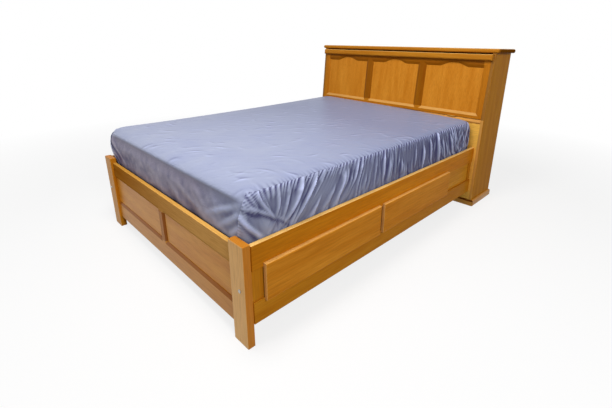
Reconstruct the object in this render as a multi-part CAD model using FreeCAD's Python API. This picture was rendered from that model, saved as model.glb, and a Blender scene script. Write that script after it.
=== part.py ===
import FreeCAD, Part
import math
import os

from FreeCAD import Vector

# Wooden bed with four drawers, a box headboard with a drop front, a mattress and a fitted sheet.
# Millimetres. X across the bed, Y from the foot to the head, Z up.
# While it is drawn, Y counts from the front of the foot posts and X from the middle of the bed.

# Mattress, which sets the size of the frame around it
mattress_width = 1530.0
mattress_length = 2030.0
mattress_thickness = 270.0
mattress_corner = 40.0
mattress_side_gap = 15.0
mattress_foot_gap = 10.0
mattress_head_gap = 8.0
# Rings of the mattress from the bottom up: how far each one is drawn in, as shares of the drawn-in depth,
# and how high it lies, as shares of the thickness
mattress_draw_in = 46.0
mattress_inset_shares = (0.62, 0.16, 0.04, 0.0, 0.08, 0.42, 1.0, 4.2)
mattress_level_shares = (0.0, 0.06, 0.2, 0.5, 0.8, 0.92, 0.965, 1.0)

# Fitted sheet
sheet_thickness = 1.6
sheet_clearance = 0.3
seam_drop = 22.0
skirt_tuck = 16.0
skirt_folds = 24
fold_depth_seam = 3.0
fold_depth_hem = 11.0
# A fold from valley to valley: how far along it and how far out each point lies, as shares
fold_along_shares = (0.3, 0.68, 1.0)
fold_out_shares = (0.92, 1.0, 0.0)

# Foot posts
post_width = 102.0
post_depth = 35.0
post_height = 480.0
edge_ease = 3.0

# Footboard between the posts
foot_set_back = 12.0
foot_bottom_clear = 70.0
foot_bottom_rail_height = 110.0
foot_top_drop = 30.0
foot_top_rail_height = 100.0
foot_muntin_width = 72.0
foot_bevel_width = 17.0
foot_bevel_depth = 7.0
foot_panel_recess = 9.0
foot_panel_thickness = 9.0
panel_housing = 8.0

# Side frames
side_board_thickness = 25.0
side_proud = 5.0
side_top_drop = 7.0
side_top_rail_height = 112.0
side_bottom_clear = 109.0
side_bottom_rail_height = 105.0
stile_set_back = 8.0
foot_stile_width = 70.0
middle_stile_width = 65.0
drawer_end_stile_width = 60.0
head_stile_width = 43.0
drawer_opening_width = 740.0
side_panel_recess = 5.0
side_panel_thickness = 8.0

# Base inside the frame
partition_thickness = 25.0
leg_width = 70.0
leg_depth = 45.0
leg_shares = (0.08, 0.5, 0.92)
divider_thickness = 18.0
cleat_height = 30.0
cleat_width = 28.0
slat_thickness = 18.0
slat_width = 90.0
slat_count = 14
slat_end_gap = 2.0
slat_first_gap = 22.0
block_width = 55.0
block_height = 110.0

# Drawers
drawer_front_thickness = 20.0
drawer_front_gap = 0.5
drawer_front_round = 7.0
drawer_front_lap_end = 17.5
drawer_front_lap_top = 19.0
drawer_front_lap_bottom = 8.0
drawer_side_gap = 6.0
drawer_floor_gap = 8.0
drawer_roof_gap = 9.0
drawer_depth = 640.0
drawer_wall = 15.0
drawer_bottom_thickness = 6.0
drawer_bottom_lift = 10.0
drawer_bottom_housing = 6.0
runner_height = 18.0
runner_reach = 12.0
runner_length = 625.0
runner_set_back = 30.0
runner_level_share = 0.5
groove_depth = 8.0
groove_over = 0.3
groove_under = 1.0
groove_stop = 15.0

# Headboard box
head_depth = 352.0
head_height = 1200.0
wing_thickness = 22.0
wing_step = 38.0
wing_lean = 40.0
cap_thickness = 30.0
cap_overhang = 28.0
cap_set_back = 2.0
cap_round = 13.0
shelf_thickness = 30.0
shelf_rise = 9.0
shelf_nose = 4.0
shelf_round = 14.0
lower_panel_thickness = 20.0
back_panel_thickness = 12.0
plinth_height = 45.0
plinth_thickness = 15.0
plinth_round = 11.0

# Drop front of the headboard
flap_thickness = 22.0
flap_cap_gap = 10.0
flap_side_gap = 1.0
flap_proud = 0.4
flap_fields = 3
flap_stile_width = 48.0
flap_muntin_width = 74.0
flap_bottom_rail_height = 42.0
flap_top_rail_height = 94.0
flap_arch_rise = 30.0
flap_shoulder_share = 0.22
flap_cove_share = 0.35
flap_bevel_width = 20.0
flap_bevel_depth = 9.0
flap_panel_recess = 11.0
flap_panel_thickness = 9.0
flap_rebate = 9.0
lip_height = 44.0
lip_depth = 30.0
lip_overlap = 12.0
lip_round = 13.0

# Hinges of the drop front
hinge_length = 64.0
hinge_knuckles = 3
hinge_shares = (-0.36, 0.0, 0.36)
hinge_leaf_thickness = 1.5
hinge_leaf_width = 24.0
hinge_leaf_gap = 0.2
hinge_knuckle_radius = 4.0
hinge_pin_radius = 2.0
hinge_pin_fit = 0.02
hinge_running_fit = 0.05
hinge_knuckle_gap = 0.3
hinge_face_gap = 0.5

# Bed bolts and the square nuts let into the corner blocks
bolt_head_radius = 8.0
bolt_head_thickness = 3.0
bolt_radius = 3.5
bolt_bite = 47.0
bolt_hole_clearance = 0.4
bolt_inset = 37.0
bolt_level = 270.0
nut_width = 16.0
nut_thickness = 9.0
nut_from_end = 6.0
nut_thread_fit = 0.05

# Overrun of every cut
overrun = 1.0

# Places that follow from the sizes above
rail_inner = mattress_width / 2 + mattress_side_gap
rail_outer = rail_inner + side_board_thickness
post_outer = rail_outer - side_proud
post_inner = post_outer - post_width
head_front = post_depth + mattress_foot_gap + mattress_length + mattress_head_gap
head_rear = head_front + head_depth
wing_outer = rail_outer + wing_step
wing_inner = wing_outer - wing_thickness
wing_top = head_height - cap_thickness

side_top = post_height - side_top_drop
side_middle_top = side_top - side_top_rail_height
side_middle_bottom = side_bottom_clear + side_bottom_rail_height
slat_bottom = side_middle_top + cleat_height
mattress_bottom = slat_bottom + slat_thickness
mattress_top = mattress_bottom + mattress_thickness
mattress_foot = post_depth + mattress_foot_gap
shelf_top = mattress_top + shelf_rise
shelf_bottom = shelf_top - shelf_thickness

foot_face = foot_set_back
foot_back = post_depth
foot_bottom_rail_top = foot_bottom_clear + foot_bottom_rail_height
foot_top = post_height - foot_top_drop
foot_top_rail_bottom = foot_top - foot_top_rail_height

opening_starts = (
    post_depth + foot_stile_width,
    post_depth + foot_stile_width + drawer_opening_width + middle_stile_width,
)
drawer_places = ("foot", "head")
side_panel_start = opening_starts[1] + drawer_opening_width + drawer_end_stile_width
side_panel_end = head_front - head_stile_width
block_depth = foot_stile_width - divider_thickness
stile_outer = rail_outer - stile_set_back
partition_face = partition_thickness / 2
sides = (("left", -1), ("right", 1))

lean_angle = math.degrees(math.atan2(wing_lean, wing_top - shelf_top))
lean_sin = math.sin(math.radians(lean_angle))
lean_cos = math.cos(math.radians(lean_angle))
flap_face = hinge_knuckle_radius + hinge_face_gap
flap_back = flap_face + flap_thickness
flap_bottom = hinge_leaf_gap + hinge_leaf_thickness
flap_half = wing_inner - flap_side_gap
hinge_seat_rise = hinge_leaf_thickness + hinge_leaf_gap + hinge_leaf_width * lean_sin
hinge_level = shelf_top + hinge_seat_rise
flap_top = (wing_top - flap_cap_gap - hinge_level) / lean_cos
hinge_front = head_front - (flap_face + flap_proud) / lean_cos + hinge_seat_rise * lean_sin / lean_cos

middle_of_length = (head_rear - bolt_head_thickness) / 2


def block(x, y, z):
    low = Vector(min(x), min(y), min(z))
    return Part.makeBox(max(x) - low.x, max(y) - low.y, max(z) - low.z, low)


def eased(solid, radius, wanted):
    # Rounds the straight edges that the test picks out by middle point and direction.
    edges = []
    for edge in solid.Edges:
        middle = edge.CenterOfMass
        way = (edge.Vertexes[-1].Point - edge.Vertexes[0].Point).normalize()
        if wanted(middle, way):
            edges.append(edge)
    return solid.makeFillet(radius, edges)


def along_x(middle, way):
    return abs(way.x) > abs(way.y) + abs(way.z)


def along_y(middle, way):
    return abs(way.y) > abs(way.x) + abs(way.z)


def along_z(middle, way):
    return abs(way.z) > abs(way.x) + abs(way.y)


def bar(start, way, length, radius):
    return Part.makeCylinder(radius, length, start, way)


def tray(outer, inner):
    # The tapered pocket between two closed outlines of like edges.
    return Part.makeLoft([outer, inner], True, True)


def rectangle_wire(x, y, z):
    corners = [Vector(x[0], y, z[0]), Vector(x[1], y, z[0]), Vector(x[1], y, z[1]), Vector(x[0], y, z[1])]
    return Part.makePolygon(corners + corners[:1])


def foot_fields():
    # The two openings of the footboard, between the posts, the rails and the muntin.
    half_muntin = foot_muntin_width / 2
    return {"left": (-post_inner, -half_muntin), "right": (half_muntin, post_inner)}


def foot_panel(side):
    x = foot_fields()[side]
    front = foot_face + foot_panel_recess
    return block(
        (x[0] - panel_housing, x[1] + panel_housing),
        (front, front + foot_panel_thickness),
        (foot_bottom_rail_top - panel_housing, foot_top_rail_bottom + panel_housing),
    )


def foot_bevel(side):
    # Bevel round an opening: it rises to the rails and the muntin and stops square at the post.
    x = foot_fields()[side]
    reach = [x[0], x[1]]
    inner_end = 1 if side == "left" else 0
    reach[inner_end] += foot_bevel_width if side == "left" else -foot_bevel_width
    z = (foot_bottom_rail_top, foot_top_rail_bottom)
    tall = (foot_bottom_rail_top - foot_bevel_width, foot_top_rail_bottom + foot_bevel_width)
    return tray(
        rectangle_wire(reach, foot_face, tall),
        rectangle_wire(x, foot_face + foot_bevel_depth, z),
    )


def fitted_to_panels(piece):
    for side in foot_fields():
        piece = piece.cut(foot_panel(side)).cut(foot_bevel(side))
    return piece


def footboard():
    span = (-post_inner, post_inner)
    depth = (foot_face, foot_back)
    top_rail = eased(block(span, depth, (foot_top_rail_bottom, foot_top)), edge_ease, along_x)
    bottom_rail = eased(block(span, depth, (foot_bottom_clear, foot_bottom_rail_top)), edge_ease, along_x)
    half_muntin = foot_muntin_width / 2
    muntin = block((-half_muntin, half_muntin), depth, (foot_bottom_rail_top, foot_top_rail_bottom))
    return {
        "footboard_top_rail": fitted_to_panels(top_rail),
        "footboard_bottom_rail": fitted_to_panels(bottom_rail),
        "footboard_muntin": fitted_to_panels(muntin),
        "footboard_panel_left": foot_panel("left"),
        "footboard_panel_right": foot_panel("right"),
    }


def foot_post(side, sign):
    post = block((sign * post_inner, sign * post_outer), (0, post_depth), (0, post_height))
    post = eased(post, edge_ease, lambda middle, way: along_z(middle, way) or middle.z > foot_top)
    return post.cut(foot_panel(side)).cut(bolt_hole(sign, 1))


def side_panel(sign):
    face = stile_outer - side_panel_recess
    return block(
        (sign * face, sign * (face - side_panel_thickness)),
        (side_panel_start - panel_housing, side_panel_end + panel_housing),
        (side_middle_bottom - panel_housing, side_middle_top + panel_housing),
    )


def side_rail(sign, z):
    rail = block((sign * rail_inner, sign * rail_outer), (post_depth, head_front), z)
    return eased(rail, edge_ease, along_y).cut(side_panel(sign))


def side_stiles(sign):
    foot_end = opening_starts[0]
    middle = opening_starts[0] + drawer_opening_width
    drawer_end = opening_starts[1] + drawer_opening_width
    spans = (
        (post_depth, foot_end),
        (middle, opening_starts[1]),
        (drawer_end, side_panel_start),
        (side_panel_end, head_front),
    )
    stiles = []
    for y in spans:
        stile = block((sign * rail_inner, sign * stile_outer), y, (side_middle_bottom, side_middle_top))
        stiles.append(stile.cut(side_panel(sign)))
    return Part.makeCompound(stiles)


def side_frame(side, sign):
    return {
        "side_top_rail_" + side: side_rail(sign, (side_middle_top, side_top)),
        "side_bottom_rail_" + side: side_rail(sign, (side_bottom_clear, side_middle_bottom)),
        "side_stiles_" + side: side_stiles(sign),
        "side_panel_" + side: side_panel(sign),
    }


def partition_and_legs():
    partition = block(
        (-partition_face, partition_face), (post_depth, head_front), (side_bottom_clear, slat_bottom)
    )
    legs = []
    for share in leg_shares:
        middle = post_depth + share * (head_front - post_depth)
        leg = block(
            (-leg_width / 2, leg_width / 2),
            (middle - leg_depth / 2, middle + leg_depth / 2),
            (0, side_bottom_clear),
        )
        legs.append(leg)
    return {"centre_partition": partition, "centre_legs": Part.makeCompound(legs)}


def drawer_bays():
    # Both walls of each drawer bay, with the way from the wall into the bay.
    bays = []
    for start in opening_starts:
        bays.append((start, 1))
        bays.append((start + drawer_opening_width, -1))
    return bays


def dividers(sign):
    boards = []
    for wall, way in drawer_bays():
        boards.append(
            block(
                (sign * partition_face, sign * rail_inner),
                (wall - way * divider_thickness, wall),
                (side_bottom_clear, side_middle_top),
            )
        )
    return boards


def runner_level():
    low = side_middle_bottom + drawer_floor_gap
    high = side_middle_top - drawer_roof_gap
    return low + runner_level_share * (high - low)


def runners(sign):
    strips = []
    start = rail_outer - runner_set_back
    level = runner_level()
    for wall, way in drawer_bays():
        strips.append(
            block(
                (sign * start, sign * (start - runner_length)),
                (wall, wall + way * runner_reach),
                (level - runner_height / 2, level + runner_height / 2),
            )
        )
    return strips


def slat_base():
    cleats = []
    corner_blocks = []
    for side, sign in sides:
        cleats.append(
            block(
                (sign * rail_inner, sign * (rail_inner - cleat_width)),
                (post_depth, head_front),
                (side_middle_top, slat_bottom),
            )
        )
        for end, way in ((post_depth, 1), (head_front, -1)):
            corner = block(
                (sign * rail_inner, sign * (rail_inner - block_width)),
                (end, end + way * block_depth),
                (bolt_level - block_height / 2, bolt_level + block_height / 2),
            )
            corner_blocks.append(corner.cut(bolt_hole(sign, way)).cut(nut_solid(sign, way)))
    slats = []
    first = post_depth + slat_first_gap
    step = (head_front - slat_first_gap - slat_width - first) / (slat_count - 1)
    reach = rail_inner - slat_end_gap
    for place in range(slat_count):
        start = first + place * step
        slats.append(block((-reach, reach), (start, start + slat_width), (slat_bottom, mattress_bottom)))
    return {
        "slat_cleats": Part.makeCompound(cleats),
        "corner_blocks": Part.makeCompound(corner_blocks),
        "slats": Part.makeCompound(slats),
        "drawer_dividers": Part.makeCompound(dividers(-1) + dividers(1)),
        "drawer_runners": Part.makeCompound(runners(-1) + runners(1)),
    }


def bolt_seat(sign, way):
    # Where the underside of a bolt's head sits: on the post, or on the back of the lower head panel.
    face = 0 if way > 0 else head_front + lower_panel_thickness
    return Vector(sign * (post_outer - bolt_inset), face, bolt_level)


def bolt_length(way):
    return bolt_bite + (post_depth if way > 0 else lower_panel_thickness)


def bolt_hole(sign, way):
    radius = bolt_radius + bolt_hole_clearance
    return bar(bolt_seat(sign, way), Vector(0, way, 0), bolt_length(way) + overrun, radius)


def bolt_solid(sign, way):
    seat = bolt_seat(sign, way)
    shank = bar(seat, Vector(0, way, 0), bolt_length(way), bolt_radius)
    head = bar(seat, Vector(0, -way, 0), bolt_head_thickness, bolt_head_radius)
    return shank.fuse(head).removeSplitter()


def nut_solid(sign, way):
    # A square nut sits in a pocket near the end of the bolt.
    seat = bolt_seat(sign, way)
    end = seat.y + way * (bolt_length(way) - nut_from_end)
    half = nut_width / 2
    return block(
        (seat.x - half, seat.x + half), (end, end - way * nut_thickness), (seat.z - half, seat.z + half)
    )


def bed_bolts():
    bolts = []
    nuts = []
    for side, sign in sides:
        for way in (1, -1):
            bolts.append(bolt_solid(sign, way))
            thread_radius = bolt_radius + nut_thread_fit
            thread = bar(bolt_seat(sign, way), Vector(0, way, 0), bolt_length(way), thread_radius)
            nuts.append(nut_solid(sign, way).cut(thread))
    return {"bed_bolts": Part.makeCompound(bolts), "captive_nuts": Part.makeCompound(nuts)}


def drawer(name, sign, start):
    front_back = rail_outer + drawer_front_gap
    front_face = front_back + drawer_front_thickness
    y = (start + drawer_side_gap, start + drawer_opening_width - drawer_side_gap)
    z = (side_middle_bottom + drawer_floor_gap, side_middle_top - drawer_roof_gap)
    rear = front_back - drawer_depth
    front = block(
        (sign * front_back, sign * front_face),
        (start - drawer_front_lap_end, start + drawer_opening_width + drawer_front_lap_end),
        (side_middle_bottom - drawer_front_lap_bottom, side_middle_top + drawer_front_lap_top),
    )
    middle_depth = (front_back + front_face) / 2
    front = eased(front, drawer_front_round, lambda middle, way: abs(middle.x) > middle_depth)

    bottom_z = z[0] + drawer_bottom_lift
    bottom = block(
        (sign * rear, sign * front_back),
        (y[0] + drawer_wall - drawer_bottom_housing, y[1] - drawer_wall + drawer_bottom_housing),
        (bottom_z, bottom_z + drawer_bottom_thickness),
    )
    level = runner_level()
    groove_z = (level - runner_height / 2 - groove_under, level + runner_height / 2 + groove_over)
    walls = []
    for wall, way in ((y[0], 1), (y[1], -1)):
        board = block((sign * rear, sign * front_back), (wall, wall + way * drawer_wall), z)
        groove = block(
            (sign * (rear - overrun), sign * (front_back - groove_stop)),
            (wall - way * overrun, wall + way * groove_depth),
            groove_z,
        )
        walls.append(board.cut(groove).cut(bottom))
    back = block(
        (sign * rear, sign * (rear + drawer_wall)),
        (y[0] + drawer_wall, y[1] - drawer_wall),
        (bottom_z + drawer_bottom_thickness, z[1]),
    )
    return {
        name + "_front": front,
        name + "_sides": Part.makeCompound(walls),
        name + "_back": back,
        name + "_bottom": bottom,
    }


def head_wing(sign):
    lean_start = Vector(sign * wing_inner, head_front, shelf_top)
    outline = [
        Vector(sign * wing_inner, head_front, 0),
        lean_start,
        Vector(sign * wing_inner, head_front + wing_lean, wing_top),
        Vector(sign * wing_inner, head_rear, wing_top),
        Vector(sign * wing_inner, head_rear, 0),
    ]
    face = Part.Face(Part.makePolygon(outline + outline[:1]))
    wing = face.extrude(Vector(sign * wing_thickness, 0, 0))
    outer = wing_outer - wing_thickness / 2
    return eased(
        wing,
        edge_ease,
        lambda middle, way: abs(middle.x) > outer and middle.z > 0 and middle.z < wing_top,
    )


def head_cap():
    half = wing_outer + cap_overhang
    front = head_front + wing_lean + cap_set_back
    cap = block((-half, half), (front, head_rear), (wing_top, head_height))

    def outer_rim(middle, way):
        return not along_z(middle, way) and middle.y < head_rear - edge_ease

    return eased(cap, cap_round, outer_rim)


def head_shelf():
    shelf = block(
        (-wing_inner, wing_inner),
        (head_front - shelf_nose, head_rear - back_panel_thickness),
        (shelf_bottom, shelf_top),
    )
    return eased(shelf, shelf_round, lambda middle, way: along_x(middle, way) and middle.y < head_front)


def head_lower_panel():
    panel = block(
        (-wing_inner, wing_inner), (head_front, head_front + lower_panel_thickness), (0, shelf_bottom)
    )
    for side, sign in sides:
        panel = panel.cut(bolt_hole(sign, -1))
    return panel


def head_plinth():
    outer = wing_outer + plinth_thickness
    front = block((-outer, outer), (head_front - plinth_thickness, head_front), (0, plinth_height))
    middle_depth = plinth_thickness / 2

    strips = []
    for side, sign in sides:
        strip = block((sign * wing_outer, sign * outer), (head_front, head_rear), (0, plinth_height))
        strips.append(
            eased(
                strip,
                plinth_round,
                lambda middle, way: along_y(middle, way)
                and middle.z > middle_depth
                and abs(middle.x) > wing_outer + middle_depth,
            )
        )
    return {
        "head_plinth_front": eased(
            front,
            plinth_round,
            lambda middle, way: middle.z > plinth_height - middle_depth and middle.y < head_front - overrun,
        ),
        "head_plinth_sides": Part.makeCompound(strips),
    }


def head_box():
    pieces = {"head_wing_" + side: head_wing(sign) for side, sign in sides}
    pieces["head_cap"] = head_cap()
    pieces["head_shelf"] = head_shelf()
    pieces["head_lower_panel"] = head_lower_panel()
    pieces["head_back_panel"] = block(
        (-wing_inner, wing_inner), (head_rear - back_panel_thickness, head_rear), (0, wing_top)
    )
    pieces.update(head_plinth())
    return pieces


def leaned(shape):
    # The drop front is drawn upright about its hinge pin, then leans back with the wings.
    placed = shape.copy()
    placed.rotate(Vector(0, 0, 0), Vector(1, 0, 0), -lean_angle)
    placed.translate(Vector(0, hinge_front, hinge_level))
    return placed


def flap_field_width():
    muntins = (flap_fields - 1) * flap_muntin_width
    return (2 * flap_half - 2 * flap_stile_width - muntins) / flap_fields


def flap_row(count):
    # Middles of a row of fields or muntins across the drop front.
    step = flap_field_width() + flap_muntin_width
    return [(place - (count - 1) / 2) * step for place in range(count)]


def arched_wire(middle, grow, y):
    # Outline of a field: square below, flat shoulders and an ogee arch above, made of coves and one broad arc.
    half = flap_field_width() / 2 + grow
    bottom = flap_bottom + flap_bottom_rail_height - grow
    shoulder = flap_top - flap_top_rail_height + grow
    run = flap_field_width() / 2 * (1 - flap_shoulder_share * 2)
    turn = 2 * math.atan2(flap_arch_rise, run)
    radii = run / math.sin(turn)
    cove = radii * flap_cove_share - grow
    broad = radii * (1 - flap_cove_share) + grow
    peak = shoulder + flap_arch_rise

    def cove_point(angle):
        return (run - cove * math.sin(angle), shoulder + cove * (1 - math.cos(angle)))

    def broad_point(angle):
        return (broad * math.sin(angle), peak - broad * (1 - math.cos(angle)))

    def at(place, sign):
        return Vector(middle + sign * place[0], y, place[1])

    edges = [Part.LineSegment(at((half, bottom), -1), at((half, bottom), 1))]
    edges.append(Part.LineSegment(at((half, bottom), 1), at((half, shoulder), 1)))
    edges.append(Part.LineSegment(at((half, shoulder), 1), at((run, shoulder), 1)))
    edges.append(Part.Arc(at((run, shoulder), 1), at(cove_point(turn / 2), 1), at(cove_point(turn), 1)))
    edges.append(Part.Arc(at(broad_point(turn), 1), at((0, peak), 1), at(broad_point(turn), -1)))
    edges.append(Part.Arc(at(cove_point(turn), -1), at(cove_point(turn / 2), -1), at((run, shoulder), -1)))
    edges.append(Part.LineSegment(at((run, shoulder), -1), at((half, shoulder), -1)))
    edges.append(Part.LineSegment(at((half, shoulder), -1), at((half, bottom), -1)))
    return Part.Wire([edge.toShape() for edge in edges])


def flap_panel(middle):
    half = flap_field_width() / 2 + flap_rebate
    front = flap_face + flap_panel_recess
    return block(
        (middle - half, middle + half),
        (front, front + flap_panel_thickness),
        (
            flap_bottom + flap_bottom_rail_height - flap_rebate,
            flap_top - flap_top_rail_height + flap_arch_rise + flap_rebate,
        ),
    )


def flap_cutters():
    # For each field: the bevel, the straight throat behind it and the rebate of the panel, open to the back.
    cutters = []
    for middle in flap_row(flap_fields):
        bevel_end = flap_face + flap_bevel_depth
        throat = Part.Face(arched_wire(middle, 0, flap_face)).extrude(Vector(0, flap_panel_recess, 0))
        bevel = tray(
            arched_wire(middle, flap_bevel_width, flap_face), arched_wire(middle, 0, bevel_end)
        )
        box = flap_panel(middle).BoundBox
        rebate = block((box.XMin, box.XMax), (box.YMin, flap_back + overrun), (box.ZMin, box.ZMax))
        cutters += [bevel, throat, rebate]
    return cutters


def flap_frame():
    depth = (flap_face, flap_back)
    height = (flap_bottom, flap_top)
    inner = flap_half - flap_stile_width
    stiles = [block((sign * inner, sign * flap_half), depth, height) for side, sign in sides]
    bottom_rail = block((-inner, inner), depth, (flap_bottom, flap_bottom + flap_bottom_rail_height))
    top_rail = block((-inner, inner), depth, (flap_top - flap_top_rail_height, flap_top))
    half_muntin = flap_muntin_width / 2
    rail_gap = (flap_bottom + flap_bottom_rail_height, flap_top - flap_top_rail_height)
    muntins = [
        block((middle - half_muntin, middle + half_muntin), depth, rail_gap)
        for middle in flap_row(flap_fields - 1)
    ]
    cutters = flap_cutters()

    def shaped(piece):
        return leaned(piece.cut(cutters))

    return {
        "flap_stiles": Part.makeCompound([shaped(stile) for stile in stiles]),
        "flap_bottom_rail": shaped(bottom_rail),
        "flap_top_rail": shaped(top_rail),
        "flap_muntins": Part.makeCompound([shaped(muntin) for muntin in muntins]),
        "flap_panels": Part.makeCompound([leaned(flap_panel(middle)) for middle in flap_row(flap_fields)]),
        "flap_lip": leaned(flap_lip()),
    }


def flap_lip():
    half = wing_inner + lip_overlap
    lip = block((-half, half), (flap_face - lip_depth, flap_face), (flap_top - lip_height, flap_top))
    return eased(
        lip, lip_round, lambda middle, way: not along_y(middle, way) and middle.y < flap_face - overrun
    )


def hinge_leaf(start, knuckles, plate_z, hole_radius):
    # One leaf of a butt hinge: a plate with its own knuckles, cut clear of the other leaf's.
    share = hinge_length / hinge_knuckles
    clear = hinge_knuckle_radius + hinge_knuckle_gap
    leaf = block((start, start + hinge_length), (0, hinge_leaf_width), plate_z)
    for place in range(hinge_knuckles):
        x = (start + place * share, start + (place + 1) * share)
        if place in knuckles:
            barrel_start = Vector(x[0] + hinge_knuckle_gap, 0, 0)
            barrel_length = share - 2 * hinge_knuckle_gap
            leaf = leaf.fuse(bar(barrel_start, Vector(1, 0, 0), barrel_length, hinge_knuckle_radius))
        else:
            leaf = leaf.cut(block(x, (-clear, clear), (-clear, clear)))
    hole = bar(Vector(start, 0, 0), Vector(1, 0, 0), hinge_length, hole_radius)
    return leaf.cut(hole).removeSplitter()


def hinges():
    # The knuckles alternate, the fixed leaf taking the first and the last.
    outer_knuckles = range(0, hinge_knuckles, 2)
    inner_knuckles = range(1, hinge_knuckles, 2)
    fixed = []
    moving = []
    pins = []
    for share in hinge_shares:
        start = share * 2 * flap_half - hinge_length / 2
        seat = (-hinge_seat_rise, -hinge_seat_rise + hinge_leaf_thickness)
        leaf = hinge_leaf(start, outer_knuckles, seat, hinge_pin_radius + hinge_pin_fit)
        leaf.translate(Vector(0, hinge_front, hinge_level))
        fixed.append(leaf)
        under_flap = (hinge_leaf_gap, hinge_leaf_gap + hinge_leaf_thickness)
        hole_radius = hinge_pin_radius + hinge_running_fit
        moving.append(leaned(hinge_leaf(start, inner_knuckles, under_flap, hole_radius)))
        axis = Vector(start, hinge_front, hinge_level)
        pins.append(bar(axis, Vector(1, 0, 0), hinge_length, hinge_pin_radius))
    return {
        "hinge_fixed_leaves": Part.makeCompound(fixed),
        "hinge_moving_leaves": Part.makeCompound(moving),
        "hinge_pins": Part.makeCompound(pins),
    }


def rounded_ring(half, y, corner, z, folds=0, fold_depth=0):
    # A closed outline with round corners. The long sides are straight, or rows of folds that stand out.
    slack = corner * (1 - math.sqrt(0.5))
    edges = []

    def line(first, last):
        edges.append(Part.LineSegment(Vector(*first, z), Vector(*last, z)))

    def round_corner(first, middle, last):
        edges.append(Part.Arc(Vector(*first, z), Vector(*middle, z), Vector(*last, z)))

    def long_side(x, start, end):
        points = [(x, start)]
        step = (end - start) / max(folds, 1)
        for place in range(folds):
            for along, out in zip(fold_along_shares, fold_out_shares):
                points.append((x + math.copysign(out * fold_depth, x), start + (place + along) * step))
        if not folds:
            points.append((x, end))
        for first, last in zip(points, points[1:]):
            line(first, last)

    line((-half + corner, y[0]), (half - corner, y[0]))
    round_corner((half - corner, y[0]), (half - slack, y[0] + slack), (half, y[0] + corner))
    long_side(half, y[0] + corner, y[1] - corner)
    round_corner((half, y[1] - corner), (half - slack, y[1] - slack), (half - corner, y[1]))
    line((half - corner, y[1]), (-half + corner, y[1]))
    round_corner((-half + corner, y[1]), (-half + slack, y[1] - slack), (-half, y[1] - corner))
    long_side(-half, y[1] - corner, y[0] + corner)
    round_corner((-half, y[0] + corner), (-half + slack, y[0] + slack), (-half + corner, y[0]))
    return Part.Wire([edge.toShape() for edge in edges])


def mattress_form(grow):
    # Rings from the bottom up: drawn in at the lower edge, fullest half way, rounded over to the crown.
    rings = []
    for inset_share, level_share in zip(mattress_inset_shares, mattress_level_shares):
        inset = inset_share * mattress_draw_in - grow
        half = mattress_width / 2 - inset
        y = (mattress_foot + inset, mattress_foot + mattress_length - inset)
        level = mattress_bottom + level_share * mattress_thickness
        if level_share > mattress_level_shares[-1] / 2:
            level += grow
        rings.append(rounded_ring(half, y, mattress_corner, level))
    return Part.makeLoft(rings, True, True)


def fitted_sheet():
    inner = mattress_form(sheet_clearance)
    outer = mattress_form(sheet_clearance + sheet_thickness)
    seam = mattress_top - seam_drop
    hem = mattress_bottom + skirt_tuck
    box = outer.BoundBox
    above = block(
        (box.XMin - overrun, box.XMax + overrun),
        (box.YMin - overrun, box.YMax + overrun),
        (seam, box.ZMax + overrun),
    )
    top = outer.cut(inner).common(above)

    half = mattress_width / 2 + sheet_clearance + sheet_thickness
    y = (
        mattress_foot - sheet_clearance - sheet_thickness,
        mattress_foot + mattress_length + sheet_clearance + sheet_thickness,
    )
    rings = []
    for level, depth in ((hem, fold_depth_hem), (seam, fold_depth_seam)):
        rings.append(rounded_ring(half, y, mattress_corner, level, skirt_folds, depth))
    skirt = Part.makeLoft(rings, True, True).cut(inner)
    return {"sheet_top": top, "sheet_skirt": skirt}


def whole_bed():
    pieces = footboard()
    for side, sign in sides:
        pieces["foot_post_" + side] = foot_post(side, sign)
        pieces.update(side_frame(side, sign))
        for place, start in zip(drawer_places, opening_starts):
            pieces.update(drawer("drawer_" + place + "_" + side, sign, start))
    pieces.update(partition_and_legs())
    pieces.update(slat_base())
    pieces.update(bed_bolts())
    pieces.update(head_box())
    pieces.update(flap_frame())
    pieces.update(hinges())
    pieces["mattress"] = mattress_form(0)
    pieces.update(fitted_sheet())
    return pieces


os.makedirs("parts", exist_ok=True)
for node, shape in whole_bed().items():
    shape.translate(Vector(0, -middle_of_length, 0))
    shape.exportStep("parts/" + node + ".step")
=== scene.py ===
import bpy
import bmesh
import math
import random
import numpy as np
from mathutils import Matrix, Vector, noise


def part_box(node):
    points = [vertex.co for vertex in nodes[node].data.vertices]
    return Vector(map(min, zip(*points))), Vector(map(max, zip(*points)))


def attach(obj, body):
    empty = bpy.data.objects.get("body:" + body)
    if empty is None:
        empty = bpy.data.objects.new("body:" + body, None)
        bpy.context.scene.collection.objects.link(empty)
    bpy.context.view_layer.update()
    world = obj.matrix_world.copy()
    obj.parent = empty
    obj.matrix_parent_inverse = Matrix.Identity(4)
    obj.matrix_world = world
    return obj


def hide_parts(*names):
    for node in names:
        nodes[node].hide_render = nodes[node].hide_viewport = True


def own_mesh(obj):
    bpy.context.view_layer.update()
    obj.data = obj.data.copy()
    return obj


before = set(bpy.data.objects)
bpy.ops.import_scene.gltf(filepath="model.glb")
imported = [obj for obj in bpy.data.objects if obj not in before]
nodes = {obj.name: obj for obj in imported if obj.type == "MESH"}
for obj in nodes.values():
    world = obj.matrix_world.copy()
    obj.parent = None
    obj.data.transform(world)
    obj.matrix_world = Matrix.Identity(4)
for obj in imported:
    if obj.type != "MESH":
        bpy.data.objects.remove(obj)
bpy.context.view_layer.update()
mm = 0.001
waveUnit = 0.314      # metres after which a wave texture of scale 1 repeats


# sRGB hex to the linear colour that the shaders take
def hexColour(code):
    parts = [int(code[i:i + 2], 16) / 255 for i in (1, 3, 5)]
    linear = [p / 12.92 if p <= 0.04045 else ((p + 0.055) / 1.055) ** 2.4 for p in parts]
    return (*linear, 1.0)


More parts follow.
